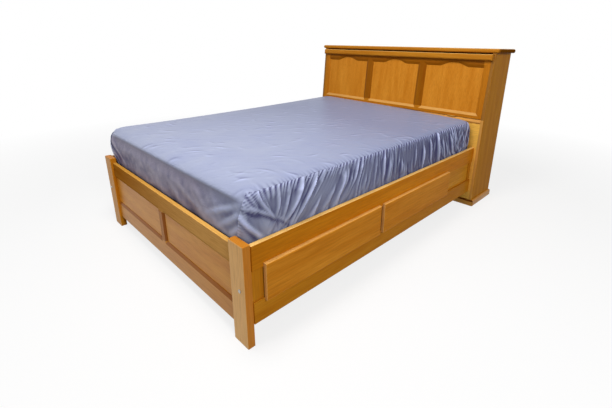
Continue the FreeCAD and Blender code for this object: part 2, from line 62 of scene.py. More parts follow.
# adds a node, sets its options and sets or links its inputs, by name or number: 0 to 4 of a map range are the
# value, the range it has and the one it gets, and 0, 6 and 7 of a colour mix the share and both colours
def addNode(tree, kind, values=None, **options):
    node = tree.nodes.new(kind)
    for key, value in options.items():
        setattr(node, key, value)
    for key, value in (values or {}).items():
        if isinstance(value, bpy.types.NodeSocket):
            tree.links.new(value, node.inputs[key])
        else:
            node.inputs[key].default_value = value
    return node


def newMaterial(name):
    material = bpy.data.materials.new(name)
    material.use_nodes = True
    material.node_tree.nodes.clear()
    return material, material.node_tree


def pickOnly(piece):
    if bpy.context.object and bpy.context.object.mode != "OBJECT":
        bpy.ops.object.mode_set(mode="OBJECT")
    bpy.ops.object.select_all(action="DESELECT")
    piece.select_set(True)
    bpy.context.view_layer.objects.active = piece


def applyModifier(piece, kind, **options):
    pickOnly(piece)
    modifier = piece.modifiers.new(kind.title(), kind)
    for key, value in options.items():
        setattr(modifier, key, value)
    bpy.ops.object.modifier_apply(modifier=modifier.name)


oak = {
    "pale": "#e3a03b",        # early wood under the varnish
    "honey": "#c87d1b",       # the colour that the boards read as from a step away
    "brown": "#87490b",       # late wood and pores; also painted shade on some ledges, sides and lower parts
    "shadeUmber": "#5e3208",       # painted shade on the wing's upturned front faces and on the cap's right end
    "rubbedAndToplit": "#f8c877",      # painted highlight: paler on oak faces that turn up to the overhead light
    "paintedHaze": "#f0bd72",    # painted reflection: the pale haze of the varnish on faces turned to the foot, and to the right on the foot rail
    "sunlit": "#fac055",      # painted light: clear golden on faces that catch the light
    "ringGap": 9 * mm,        # growth rings, wide apart on flat-sawn boards
    "pith": (4.0, 3.2, 0),    # the middle of the tree, far off, so that the grain is straight
    "pithTilt": (0.004, 0.006, 0),
    "wander": (8 * mm, 8 * mm, 0),   # how far the rings stray
    "figure": (45 * mm, 420 * mm),   # broad streaks and blotches
    "fibre": (2.4 * mm, 90 * mm),    # pores, drawn wider than the real 0.3 mm so that they show
    "fibreDepth": 0.4 * mm,
    "streaks": (0.2, 0.8),           # the figure turns honey to pale from here to here
    "lateWood": (0.3, 1.0, 0.12),    # the rings turn brown from here to here, by this share
    "pores": (0.45, 0.75, 0.38),     # and the pores
    "roughness": (0.28, 0.44),
    "refraction": 1.5,
}
turnToGrain = {"X": (0, math.radians(-90), 0), "Y": (math.radians(90), 0, 0), "Z": (0, 0, 0)}
toFoot = (-0.6, -0.95)        # a face counts as turned to the foot from here on
edgeFade = 0.15               # slope over which an edge takes its colour


# Oak under a satin honey varnish: straight grain with brown pores, soft broad streaks and a hazy reflection,
# with painted light and shade laid on by the way each face turns
def varnishedOak(name, grain, finish):
    material, tree = newMaterial(name)
    place = addNode(tree, "ShaderNodeTexCoord").outputs["Object"]
    turned = addNode(tree, "ShaderNodeMapping", {"Vector": place, "Rotation": turnToGrain[grain]}).outputs[0]
    board = addNode(tree, "ShaderNodeVectorMath", {0: turned, 1: finish["cut"]}, operation="ADD").outputs[0]
    drawnOut = {}
    for key, detail in (("figure", 5.0), ("fibre", 2.0)):
        wide, far = oak[key]
        scaled = addNode(
            tree, "ShaderNodeVectorMath", {0: board, 1: (1 / wide, 1 / wide, 1 / far)}, operation="MULTIPLY"
        )
        drawnOut[key] = addNode(
            tree, "ShaderNodeTexNoise", {"Vector": scaled.outputs[0], "Scale": 1.0, "Detail": detail}
        )
    figure, fibre = drawnOut["figure"], drawnOut["fibre"].outputs["Fac"]
    pith = addNode(
        tree, "ShaderNodeMapping", {"Vector": board, "Location": oak["pith"], "Rotation": oak["pithTilt"]}
    )
    wander = addNode(
        tree, "ShaderNodeVectorMath", {0: figure.outputs["Color"], 1: oak["wander"]}, operation="MULTIPLY"
    )
    bent = addNode(
        tree, "ShaderNodeVectorMath", {0: pith.outputs[0], 1: wander.outputs[0]}, operation="ADD"
    )
    rings = addNode(
        tree, "ShaderNodeTexWave",
        {"Vector": bent.outputs[0], "Scale": waveUnit / oak["ringGap"],
         "Distortion": 0.5, "Detail": 2.0, "Detail Scale": 1.5},
        wave_type="RINGS", rings_direction="Z", wave_profile="SAW",
    )
    streakFrom, streakTo = oak["streaks"]
    broad = addNode(tree, "ShaderNodeMapRange", {0: figure.outputs["Fac"], 1: streakFrom, 2: streakTo})
    body = addNode(
        tree, "ShaderNodeMix",
        {0: broad.outputs[0], 6: hexColour(oak["honey"]), 7: hexColour(oak["pale"])}, data_type="RGBA",
    )
    colour = addNode(
        tree, "ShaderNodeMix", {0: 1.0, 6: body.outputs[2], 7: hexColour(finish["tone"])},
        data_type="RGBA", blend_type="MULTIPLY",
    ).outputs[2]

    where = addNode(tree, "ShaderNodeSeparateXYZ", {0: place}).outputs
    normal = addNode(tree, "ShaderNodeNewGeometry").outputs["Normal"]
    facing = addNode(tree, "ShaderNodeSeparateXYZ", {0: normal}).outputs
    way, asideColour, asideShare, start, end = finish["aside"]
    frontColour, frontShare = finish["front"]
    axis, slope, edgeColour, edgeShare = finish["edge"]
    # painted light and shade: the colour aside, mostly painted shade or reflection, the painted reflection on
    # the side turned to the foot, and the painted highlight or shade on the edges
    layers = (
        (where[way], start, end, asideShare, asideColour),
        (facing["Y"], *toFoot, frontShare, frontColour),
        (facing[axis], slope, slope + edgeFade, edgeShare, edgeColour),
        (rings.outputs["Fac"], *oak["lateWood"], "brown"),
        (fibre, *oak["pores"], "brown"),
    )
    for measure, low, high, most, shade in layers:
        share = addNode(tree, "ShaderNodeMapRange", {0: measure, 1: low, 2: high, 3: 0.0, 4: most}).outputs[0]
        colour = addNode(
            tree, "ShaderNodeMix", {0: share, 6: colour, 7: hexColour(oak[shade])}, data_type="RGBA"
        ).outputs[2]
    gloss = finish["gloss"]
    if "dull" in finish:
        gloss = addNode(
            tree, "ShaderNodeMapRange", {0: where[way], 1: start, 2: end, 3: gloss, 4: finish["dull"]}
        ).outputs[0]
    smooth, dry = oak["roughness"]
    rough = addNode(tree, "ShaderNodeMapRange", {0: fibre, 3: smooth, 4: dry})
    bump = addNode(tree, "ShaderNodeBump", {"Strength": 0.25, "Distance": oak["fibreDepth"], "Height": fibre})
    shader = addNode(
        tree, "ShaderNodeBsdfPrincipled",
        {"Base Color": colour, "Roughness": rough.outputs[0], "Normal": bump.outputs[0],
         "IOR": oak["refraction"], "Specular IOR Level": gloss},
    )
    addNode(tree, "ShaderNodeOutputMaterial", {"Surface": shader.outputs[0]})
    return material


pine = {
    "pale": "#dcb67c",
    "straw": "#c99a58",       # late wood
    "cut": (0.4, 0.9, 0.2),   # where the pattern is cut from
    "ringGap": 9 * mm,
    "pith": (110 * mm, 50 * mm, 0),
    "pithTilt": (0.04, 0.03, 0),
    "fibre": (3 * mm, 140 * mm),     # drawn wider than the real 0.1 mm so that it shows
    "fibreDepth": 0.4 * mm,
    "roughness": 0.62,
}


# Planed pine with no varnish: pale, dry, with darker straight rings
def planedPine(name, grain):
    material, tree = newMaterial(name)
    place = addNode(tree, "ShaderNodeTexCoord").outputs["Object"]
    turned = addNode(tree, "ShaderNodeMapping", {"Vector": place, "Rotation": turnToGrain[grain]}).outputs[0]
    board = addNode(tree, "ShaderNodeVectorMath", {0: turned, 1: pine["cut"]}, operation="ADD").outputs[0]
    wide, far = pine["fibre"]
    scaled = addNode(
        tree, "ShaderNodeVectorMath", {0: board, 1: (1 / wide, 1 / wide, 1 / far)}, operation="MULTIPLY"
    )
    fibre = addNode(
        tree, "ShaderNodeTexNoise", {"Vector": scaled.outputs[0], "Scale": 1.0, "Detail": 2.0}
    ).outputs["Fac"]
    pith = addNode(
        tree, "ShaderNodeMapping", {"Vector": board, "Location": pine["pith"], "Rotation": pine["pithTilt"]}
    )
    rings = addNode(
        tree, "ShaderNodeTexWave",
        {"Vector": pith.outputs[0], "Scale": waveUnit / pine["ringGap"], "Distortion": 1.5, "Detail": 2.0},
        wave_type="RINGS", rings_direction="Z", wave_profile="SAW",
    )
    mixed = addNode(tree, "ShaderNodeMath", {0: rings.outputs["Fac"], 1: fibre}, operation="MULTIPLY")
    colour = addNode(
        tree, "ShaderNodeMix",
        {0: mixed.outputs[0], 6: hexColour(pine["pale"]), 7: hexColour(pine["straw"])}, data_type="RGBA",
    )
    bump = addNode(tree, "ShaderNodeBump", {"Strength": 0.3, "Distance": pine["fibreDepth"], "Height": fibre})
    shader = addNode(
        tree, "ShaderNodeBsdfPrincipled",
        {"Base Color": colour.outputs[2], "Roughness": pine["roughness"], "Normal": bump.outputs[0]},
    )
    addNode(tree, "ShaderNodeOutputMaterial", {"Surface": shader.outputs[0]})
    return material


flatTop, bevel = 0.7, 0.22    # slopes past which an edge counts as one that turns up or aside
# finish of a board: where its pattern is cut from, the gloss of the varnish and a tone that deepens its colour,
# darker on some boards as painted shade; the colour and share of its side to the foot, a painted reflection;
# the axis and slope past which an edge takes a colour and share, as painted highlight or shade; the axis along
# which a colour comes in aside, with its share, start and end, and the gloss that is left there
plainBoard = {
    "cut": (1.9, 0.8, 2.3), "gloss": 0.04,
    "front": ("honey", 0.0), "edge": ("Z", flatTop, "honey", 0.0), "aside": ("X", "honey", 0.0, 0.0, 1.0),
}
oakFinish = {
    # painted highlight on the upturned top face
    "rail": {
        "cut": (0.3, 0.1, 0.7), "tone": "#fde990", "gloss": 0.02,
        "edge": ("Z", flatTop, "rubbedAndToplit", 0.95), "aside": ("Y", "brown", 0.25, -0.5, -1.1),
    },
    # painted reflection on the front, painted highlight on upturned faces
    "drawer": {
        "tone": "#fff3d8", "gloss": 0.02, "front": ("paintedHaze", 0.7),
        "edge": ("Z", flatTop, "rubbedAndToplit", 0.6),
    },
    "frame": {"cut": (0.7, 1.8, 2.9), "tone": "#ece4ac", "gloss": 0.02, "edge": ("Z", flatTop, "brown", 0.3)},
    # painted reflection on the front and painted shade on the upturned front faces
    "wing": {
        "cut": (0.3, 0.1, 0.7), "tone": "#f4f09c", "gloss": 0.01,
        "front": ("paintedHaze", 0.45), "edge": ("Z", -0.02, "shadeUmber", 1.0),
    },
    # painted light on the front, and painted shade low down where the side frame ends
    "low": {
        "cut": (0.3, 0.1, 0.7), "tone": "#ffffff",
        "front": ("sunlit", 0.9), "aside": ("Z", "brown", 0.75, 0.5, 0.44),
    },
    "panel": {"tone": "#ffffd8", "gloss": 0.02},
    "door": {"tone": "#f3e6cf"},
    # painted highlight on the top and painted shade on the right end
    "cap": {
        "tone": "#ded6b6", "edge": ("Z", flatTop, "rubbedAndToplit", 0.7),
        "aside": ("X", "shadeUmber", 0.8, 0.852, 0.868), "dull": 0.0,
    },
    # painted reflection on the front, painted highlight on upturned faces
    "shelf": {"tone": "#fff4dc", "front": ("paintedHaze", 0.5), "edge": ("Z", flatTop, "rubbedAndToplit", 0.7)},
    # painted highlight on the upturned bevels of the drop front's frame
    "stile": {"cut": (0.9, 1.4, 0.4), "tone": "#dcc88c", "edge": ("Z", bevel, "rubbedAndToplit", 0.45)},
    # a darker tone as painted shade under the lip and between the fields, and painted highlight on upturned
    # bevels
    "deep": {"cut": (0.9, 1.4, 0.4), "tone": "#a99340", "edge": ("Z", bevel, "rubbedAndToplit", 0.38)},
    "foot": {"cut": (2.7, 0.3, 1.2), "tone": "#ffffff", "gloss": 0.15},
    # painted shade on the upturned ledge below the panels
    "foot low": {
        "cut": (2.7, 0.3, 1.2), "tone": "#f2f2f2", "gloss": 0.15, "edge": ("Z", bevel, "brown", 0.85),
    },
    # a darker tone and brown on the bevels turned away from the light, as painted shade
    "foot middle": {
        "cut": (1.2, 2.1, 0.6), "tone": "#ccba78", "gloss": 0.08, "edge": ("X", bevel, "brown", 0.85),
    },
    # a dark tone as painted reflection, paler to the right as painted haze, and painted highlight on the top
    # face
    "foot rail": {
        "cut": (1.2, 2.1, 0.6), "tone": "#cbbfb8", "gloss": 0.0,
        "edge": ("Z", flatTop, "sunlit", 0.42), "aside": ("X", "paintedHaze", 0.62, -0.6, 0.4),
    },
    # painted reflection on the front
    "post": {
        "cut": (0.6, 1.7, 1.9), "tone": "#f4e2c0", "gloss": 0.15,
        "front": ("paintedHaze", 0.85), "edge": ("Z", flatTop, "honey", 0.7),
    },
    # the far post: a darker tone as painted shade, with less painted reflection on its front
    "far post": {
        "cut": (0.6, 1.7, 1.9), "tone": "#e9dca0", "gloss": 0.05,
        "front": ("paintedHaze", 0.4), "edge": ("Z", flatTop, "honey", 0.7),
    },
    "plinth": {"tone": "#f4faff", "gloss": 0.2},
}
grainWords = {"X": "along the width", "Y": "along the length", "Z": "upright"}
# grain direction and finish of each board, and of those that come as a left and a right one
oakGrain = {
    "footboard_top_rail": "X foot rail", "footboard_bottom_rail": "X foot low",
    "footboard_muntin": "Z foot middle", "foot_post_left": "Z far post", "foot_post_right": "Z post",
    "head_cap": "X cap", "head_shelf": "X shelf", "head_lower_panel": "X low",
    "head_plinth_front": "X wing", "head_plinth_sides": "Y plinth",
    "flap_stiles": "Z stile", "flap_bottom_rail": "X stile", "flap_top_rail": "X deep",
    "flap_muntins": "Z deep", "flap_panels": "Z door", "flap_lip": "X cap",
}
pairGrain = {
    "footboard_panel_": "X foot", "side_top_rail_": "Y rail", "side_bottom_rail_": "Y frame",
    "side_stiles_": "Z frame", "side_panel_": "Y panel", "head_wing_": "Z wing",
}
pineGrain = {
    "centre_partition": "Y", "centre_legs": "Z", "drawer_dividers": "X", "drawer_runners": "X",
    "slat_cleats": "Y", "corner_blocks": "Z", "slats": "X", "head_back_panel": "X",
}
for side in ("left", "right"):
    for node, board in pairGrain.items():
        oakGrain[node + side] = board
    for drawer in ("drawer_foot_" + side, "drawer_head_" + side):
        oakGrain[drawer + "_front"] = "Y drawer"
        pineGrain[drawer + "_sides"] = "X"
        pineGrain[drawer + "_back"] = pineGrain[drawer + "_bottom"] = "Y"


def dress(node, material):
    mesh = nodes[node].data
    mesh.materials.clear()
    mesh.materials.append(material)


pineSets = {axis: planedPine("planed pine " + axis, axis) for axis in "XYZ"}
oakSets = {}
for board in sorted(set(oakGrain.values())):
    grain, key = board[0], board[2:]
    boardName = "varnished oak " + grainWords[grain] + " " + key
    oakSets[board] = varnishedOak(boardName, grain, {**plainBoard, **oakFinish[key]})
for node, board in oakGrain.items():
    dress(node, oakSets[board])
for node, grain in pineGrain.items():
    dress(node, pineSets[grain])
print("timber dressed")


metal = {
    "zinc plated steel": {
        "colour": "#a9a8a4", "roughness": (0.34, 0.54), "nodes": ("bed_bolts", "captive_nuts"),
    },
    "lacquered brass": {
        "colour": "#c79a4b", "roughness": (0.2, 0.4),
        "nodes": ("hinge_fixed_leaves", "hinge_moving_leaves", "hinge_pins"),
    },
}
rubbingMark = 1.5 * mm        # drawn wider than the real 0.1 mm so that it shows


# Plated or lacquered metal with fine rubbing marks that break up its shine
def rubbedMetal(name, finish):
    material, tree = newMaterial(name)
    place = addNode(tree, "ShaderNodeTexCoord").outputs["Object"]
    marks = addNode(tree, "ShaderNodeTexNoise", {"Vector": place, "Scale": 1 / rubbingMark, "Detail": 2.0})
    shiny, dull = finish["roughness"]
    rough = addNode(tree, "ShaderNodeMapRange", {0: marks.outputs["Fac"], 3: shiny, 4: dull})
    shader = addNode(
        tree, "ShaderNodeBsdfPrincipled",
        {"Base Color": hexColour(finish["colour"]), "Metallic": 1.0, "Roughness": rough.outputs[0]},
    )
    addNode(tree, "ShaderNodeOutputMaterial", {"Surface": shader.outputs[0]})
    return material


for name, finish in metal.items():
    rubbedAndToplit = rubbedMetal(name, finish)
    for node in finish["nodes"]:
        dress(node, rubbedAndToplit)
print("metal dressed")


bedLow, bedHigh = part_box("mattress")
bedCorner = 40 * mm
# rounded edges of the mattress: share of its height, and share of the millimetres that it is drawn in there
bedEdge = {
    "height": (0.0, 0.06, 0.2, 0.5, 0.8, 0.92, 0.965), "share": (0.62, 0.16, 0.04, 0.0, 0.08, 0.42, 1.0),
    "drawnIn": 46,
    "crown": 193 * mm,        # drawn in at the very top
}
bedLevels = [bedLow.z + share * (bedHigh.z - bedLow.z) for share in bedEdge["height"]]
bedInsets = [share * bedEdge["drawnIn"] * mm for share in bedEdge["share"]]

# soft creases of the top, drawn at random about one direction: each a crest with a trough beside it
creases = {
    "count": 560, "seed": 11, "turn": math.radians(42), "spread": 0.45,
    "length": (14, 46), "width": (6, 9),    # millimetres
    "height": (0.1, 1.2),    # squared to millimetres, so that most are low
    "bow": 0.25,
    "trough": 0.8, "troughAt": 1.7,    # share of the crest, and widths away from it
    "lift": 0.7,    # share of the height that the cloth takes, the rest is only shaded
    "contrast": 4.5 * mm,
}
satin = {
    "lavender": "#a5abbf",    # the sheet's own colour
    "bluish": "#9198b9",      # in broad patches
    "deep": "#44436c",        # painted shade in the hollows of the folds
    "head": "#868dab",        # painted shade, darker from the foot towards the middle
    "far": "#97a2c2",         # painted light, paler again under the headboard
    "bright": "#bcc3e6",      # painted highlight on crests and stitches
    "drop": "#a79dac",        # painted shade on the foot drop, a warm grey
    "patch": 150 * mm,
    "thread": 1.4 * mm,       # threads, drawn wider than the real 0.2 mm so that they show close up
    "threadDepth": 0.2 * mm,
    "crease": (110 * mm, 32 * mm),   # small lie-in creases, along and across them
    "creaseDepth": 6 * mm,
    "roughness": 0.4, "gloss": 0.1, "sheen": 0.06, "sheenRoughness": 0.35,
}
# where the colours of the sheet come in: from, to and how much
satinRange = {
    "head": (bedLow.y + 0.1, 0.2, 1.0), "far": (0.1, 0.95, 1.0),    # painted shade along the bed, and painted light again under the headboard
    "turned": (-0.6, -0.9, 0.8), "below": (0.634, 0.612, 1.0), "leftOf": (0.65, 0.35, 1.0),    # painted shade on the foot drop
    "hollow": (0.5, 0.0, 1.0), "crest": (0.5, 1.0, 1.0),    # painted shade and highlight, by the share of the folds
}


# Satin-woven cotton: a smooth face with a soft broad shine, painted shade in the folds and painted highlight on
# the crests
def wovenSatin(name):
    material, tree = newMaterial(name)
    flat = addNode(tree, "ShaderNodeUVMap", uv_map="cloth").outputs[0]
    threadScale = waveUnit / satin["thread"]
    warp, weft = (
        addNode(tree, "ShaderNodeTexWave", {"Vector": flat, "Scale": threadScale}, bands_direction=way)
        for way in "XY"
    )
    weave = addNode(
        tree, "ShaderNodeMath", {0: warp.outputs["Fac"], 1: weft.outputs["Fac"]}, operation="MULTIPLY"
    )
    place = addNode(tree, "ShaderNodeTexCoord").outputs["Object"]
    patch = addNode(tree, "ShaderNodeTexNoise", {"Vector": place, "Scale": 1 / satin["patch"], "Detail": 3.0})
    where = addNode(tree, "ShaderNodeSeparateXYZ", {0: place}).outputs
    normal = addNode(tree, "ShaderNodeNewGeometry").outputs["Normal"]
    facing = addNode(tree, "ShaderNodeSeparateXYZ", {0: normal}).outputs
    fold = addNode(tree, "ShaderNodeAttribute", attribute_name="fold").outputs["Fac"]
    measures = {
        "head": where["Y"], "far": where["Y"], "turned": facing["Y"], "below": where["Z"], "leftOf": where["X"],
        "hollow": fold, "crest": fold,
    }
    shares = {}
    for key, measure in measures.items():
        low, high, most = satinRange[key]
        shares[key] = addNode(
            tree, "ShaderNodeMapRange", {0: measure, 1: low, 2: high, 3: 0.0, 4: most}
        ).outputs[0]
    drop = shares["turned"]
    for key in ("below", "leftOf"):
        drop = addNode(tree, "ShaderNodeMath", {0: drop, 1: shares[key]}, operation="MULTIPLY").outputs[0]
    # painted shade from the foot towards the middle, painted light under the headboard, painted shade on the
    # foot drop, painted shade in the hollows and painted highlight on the crests
    layers = (
        (patch.outputs["Fac"], "bluish"), (shares["head"], "head"), (shares["far"], "far"), (drop, "drop"),
        (shares["hollow"], "deep"), (shares["crest"], "bright"),
    )
    colour = hexColour(satin["lavender"])
    for share, shade in layers:
        colour = addNode(
            tree, "ShaderNodeMix", {0: share, 6: colour, 7: hexColour(satin[shade])}, data_type="RGBA"
        ).outputs[2]
    turned = addNode(tree, "ShaderNodeMapping", {"Vector": place, "Rotation": (0, 0, -creases["turn"])})
    along, thick = satin["crease"]
    lain = addNode(
        tree, "ShaderNodeVectorMath", {0: turned.outputs[0], 1: (1 / along, 1 / thick, 1 / thick)},
        operation="MULTIPLY",
    )
    ripple = addNode(
        tree, "ShaderNodeTexNoise",
        {"Vector": lain.outputs[0], "Scale": 1.0, "Detail": 3.0, "Distortion": 0.5},
    )
    rumpled = addNode(
        tree, "ShaderNodeBump",
        {"Strength": 0.7, "Distance": satin["creaseDepth"], "Height": ripple.outputs["Fac"]},
    )
    bump = addNode(
        tree, "ShaderNodeBump",
        {"Strength": 0.12, "Distance": satin["threadDepth"], "Height": weave.outputs[0],
         "Normal": rumpled.outputs[0]},
    )
    shader = addNode(
        tree, "ShaderNodeBsdfPrincipled",
        {"Base Color": colour, "Roughness": satin["roughness"], "Normal": bump.outputs[0],
         "Specular IOR Level": satin["gloss"], "Sheen Weight": satin["sheen"],
         "Sheen Roughness": satin["sheenRoughness"]},
    )
    addNode(tree, "ShaderNodeOutputMaterial", {"Surface": shader.outputs[0]})
    return material


ticking = {
    "cream": "#e4e0d6", "grey": "#c9c6bf",
    "quilt": 55 * mm, "quiltDepth": 3 * mm,
    "thread": 1.8 * mm,       # drawn wider than the real 0.4 mm so that it shows
    "roughness": 0.8,
}


# Woven mattress ticking: matt cream cotton, quilted in soft lozenges
def wovenTicking(name):
    material, tree = newMaterial(name)
    place = addNode(tree, "ShaderNodeTexCoord").outputs["Object"]
    turned = addNode(
        tree, "ShaderNodeMapping", {"Vector": place, "Rotation": (0, 0, math.radians(45))}
    ).outputs[0]
    quiltScale = waveUnit / ticking["quilt"]
    across, along = (
        addNode(tree, "ShaderNodeTexWave", {"Vector": turned, "Scale": quiltScale}, bands_direction=way)
        for way in "XY"
    )
    lozenge = addNode(
        tree, "ShaderNodeMath", {0: across.outputs["Fac"], 1: along.outputs["Fac"]}, operation="MULTIPLY"
    )
    thread = addNode(
        tree, "ShaderNodeTexNoise", {"Vector": place, "Scale": 1 / ticking["thread"], "Detail": 1.0}
    )
    colour = addNode(
        tree, "ShaderNodeMix",
        {0: thread.outputs["Fac"], 6: hexColour(ticking["cream"]), 7: hexColour(ticking["grey"])},
        data_type="RGBA",
    )
    bump = addNode(
        tree, "ShaderNodeBump",
        {"Strength": 0.6, "Distance": ticking["quiltDepth"], "Height": lozenge.outputs[0]},
    )
    shader = addNode(
        tree, "ShaderNodeBsdfPrincipled",
        {"Base Color": colour.outputs[2], "Roughness": ticking["roughness"], "Normal": bump.outputs[0]},
    )
    addNode(tree, "ShaderNodeOutputMaterial", {"Surface": shader.outputs[0]})
    return material


# how far the foot edge is drawn in at each level: a rolled crown that ends in a crisp line above the drop
footCrown = {
    "level": (0.560, 0.600, 0.616, 0.624, 0.629, 0.636, 0.645, 0.657, 0.664, 0.670, 0.6745, 0.679),
    "inset": (0.0, 0.006, 0.007, 0.005, 0.000, 0.003, 0.011, 0.028, 0.047, 0.078, 0.128, 0.193),
    "depth": 0.3, "depthFade": 0.06,    # how far in from the foot it counts
    "corner": 0.035, "cornerFade": 0.07,    # and how far from the sides it fades out
}
# the mattress stands higher towards the head, most at the left
headLift = {
    "x": (-0.765, 0.0, 0.3, 0.765), "rise": (0.042, 0.033, 0.028, 0.009),
    "from": -0.95, "run": 1.8, "curve": 1.5,    # along the bed
    "above": 0.5, "over": 0.16,    # up its side
    "keep": 0.9,
}


def headRise(x, y, z):
    toHead = ramp((y - headLift["from"]) / headLift["run"]) ** headLift["curve"]
    upSide = ramp((z - headLift["above"]) / headLift["over"])
    return np.interp(x, headLift["x"], headLift["rise"]) * toHead * upSide


def crownForm(co):
    z = co[:, 2].copy()
    plain = np.interp(z, bedLevels + [bedHigh.z], bedInsets + [bedEdge["crown"]])
    crowned = np.interp(z, footCrown["level"], footCrown["inset"])
    front = ramp((bedLow.y + footCrown["depth"] - co[:, 1]) / footCrown["depthFade"])
    inner = ramp((bedHigh.x - footCrown["corner"] - np.abs(co[:, 0])) / footCrown["cornerFade"])
    co[:, 1] += front * inner * (crowned - plain) * (z > footCrown["level"][0])
    co[:, 2] += headRise(co[:, 0], co[:, 1], z)


def readPlaces(piece):
    co = np.zeros(len(piece.data.vertices) * 3)
    piece.data.vertices.foreach_get("co", co)
    return co.reshape(-1, 3)


def writePlaces(piece, co):
    piece.data.vertices.foreach_set("co", co.reshape(-1))
    piece.data.update()


# 0 to 1 and flat beyond
def ramp(t):
    return np.clip(t, 0, 1)


# 1 in the middle, falling off to both sides
def bell(t):
    return np.exp(-t ** 2)


def inAndOut(t, begin, fadeIn, end, fadeOut):
    return ramp((t - begin) / fadeIn) * ramp((end - t) / fadeOut)


# smooth noise from -1 to 1 at each place
def noiseAt(*axes):
    places = np.stack(np.broadcast_arrays(*axes), -1).reshape(-1, 3)
    return np.array([noise.noise(Vector(place)) for place in places]).reshape(np.shape(axes[0]))


# the mattress form as an even skin of quads
def mattressSkin(name, voxel, grow):
    piece = bpy.data.objects.new(name, nodes["mattress"].data.copy())
    bpy.context.scene.collection.objects.link(piece)
    pickOnly(piece)
    bpy.ops.object.mode_set(mode="EDIT")
    bpy.ops.mesh.select_all(action="SELECT")
    bpy.ops.mesh.remove_doubles(threshold=0.1 * mm)
    bpy.ops.object.mode_set(mode="OBJECT")
    applyModifier(piece, "REMESH", mode="VOXEL", voxel_size=voxel)
    applyModifier(piece, "SMOOTH", factor=0.5, iterations=8)
    co = readPlaces(piece)
    crownForm(co)
    writePlaces(piece, co)
    applyModifier(piece, "DISPLACE", strength=grow, mid_level=0.0)
    piece.data.materials.clear()
    return piece


def finishSoft(piece, material, nodeName):
    piece.data.materials.append(material)
    pickOnly(piece)
    bpy.ops.object.shade_smooth()
    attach(piece, "bed_frame")
    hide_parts(nodeName)
    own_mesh(piece)


core = {"voxel": 20 * mm, "shrink": -3 * mm, "fill": 0.95}


def makeMattress():
    body = mattressSkin("mattress_body", core["voxel"], core["shrink"])
    finishSoft(body, tickingCloth, "mattress")


def creaseField(x, y):
    draw = random.Random(creases["seed"])
    lift = np.zeros_like(x)
    for _ in range(creases["count"]):
        cx, cy = draw.uniform(bedLow.x, bedHigh.x), draw.uniform(bedLow.y, bedHigh.y)
        turn = creases["turn"] + draw.gauss(0, creases["spread"])
        length, width = draw.uniform(*creases["length"]) * mm, draw.uniform(*creases["width"]) * mm
        height = draw.uniform(*creases["height"]) ** 2 * mm
        along = (x - cx) * math.cos(turn) + (y - cy) * math.sin(turn)
        across = (y - cy) * math.cos(turn) - (x - cx) * math.sin(turn)
        across = across - draw.uniform(-creases["bow"], creases["bow"]) * along ** 2 / length
        crest = bell(across / width) - creases["trough"] * bell(across / width - creases["troughAt"])
        lift += height * bell(along / length) * crest
    return lift


gather = {
    "seam": 661 * mm, "pitch": 22 * mm, "depth": 6.5 * mm, "fade": 0.17,
    "from": -0.3, "to": 2.6, "uneven": (0.6, 1.5), "pinch": 1.5,
    "seeds": {1: 21, -1: 22},    # right and left
}


# irregular puckers along the gathered seam, as a wave from 0 to 1 of the place along it
def puckers(s, seed):
    draw = random.Random(seed)
    knots, phases = [gather["from"]], [0.0]
    while knots[-1] < gather["to"]:
        knots.append(knots[-1] + gather["pitch"] * draw.uniform(*gather["uneven"]))
        phases.append(phases[-1] + 1.0)
    phase = np.interp(s, knots, phases)
    return np.abs(np.cos(np.pi * phase)) ** gather["pinch"]


# folds on the foot drop near the corner seams: both ends (x, z), height and width
footFolds = (
    ((0.760, 0.632), (0.470, 0.500), 4 * mm, 12 * mm), ((0.745, 0.585), (0.560, 0.470), 4 * mm, 11 * mm),
    ((0.755, 0.540), (0.640, 0.460), 3 * mm, 10 * mm), ((-0.760, 0.625), (-0.560, 0.480), 4 * mm, 12 * mm),
    ((-0.755, 0.570), (-0.650, 0.470), 3 * mm, 10 * mm),
)
sheet = {
    "voxel": 9.5 * mm, "grow": 2.6 * mm, "thickness": 1.2 * mm, "flat": (1.53, 2.5),
    "hem": 430 * mm, "under": 14 * mm, "cornerCut": 26 * mm,
    "steep": 0.7,    # a face past this slope hangs on a drop
    "plain": 0.48,    # share of cloth with no fold
    "tuckReach": 70 * mm, "tuckLift": 0.5, "tuckShade": 0.8, "tuckMiddle": 0.6,    # puckers in from the seam, with painted highlight on them and painted shade between
    "dropTop": 0.626, "dropFade": 60 * mm,
    "wave": 4 * mm, "waveShade": 0.2, "waveMiddle": 0.6,    # soft waves of the foot drop, with painted highlight on their ridges and painted shade between
    "mottle": (26, 30), "mottleShade": 0.16,    # blotches to the metre, across and down
    "crownLine": 0.634, "crownFade": 12 * mm, "crownShade": 0.17,    # painted shade below the crown's line
    "foldRun": (0, 0.2, 1.2, 0.6),    # shares of a foot fold over which it comes in and goes out
    "foldShade": 0.42, "hollowShade": 0.12, "hollowAt": 1.8,    # painted highlight on the crests of the foot folds and painted shade beside them
    "rightShade": 0.13,    # painted light: the foot drop is paler to the right
    "covered": 1.5 * mm, "coveredFrom": 12 * mm, "coveredFade": 14 * mm,    # pressed in under the skirt
}


# fold heights as the share that the cloth's painted shade and highlight follow: 0 in a hollow, 0.5 on plain
# cloth, 1 on a crest
def markFolds(piece, share):
    mark = piece.data.attributes.new("fold", "FLOAT", "POINT")
    mark.data.foreach_set("value", ramp(share).astype(np.float32).reshape(-1))


# place along a fold's line, from 0 to 1, and distance off it
def foldLine(aheadX, aheadZ, runX, runZ):
    reach = math.hypot(runX, runZ)
    return (aheadX * runX + aheadZ * runZ) / reach ** 2, (aheadX * runZ - aheadZ * runX) / reach


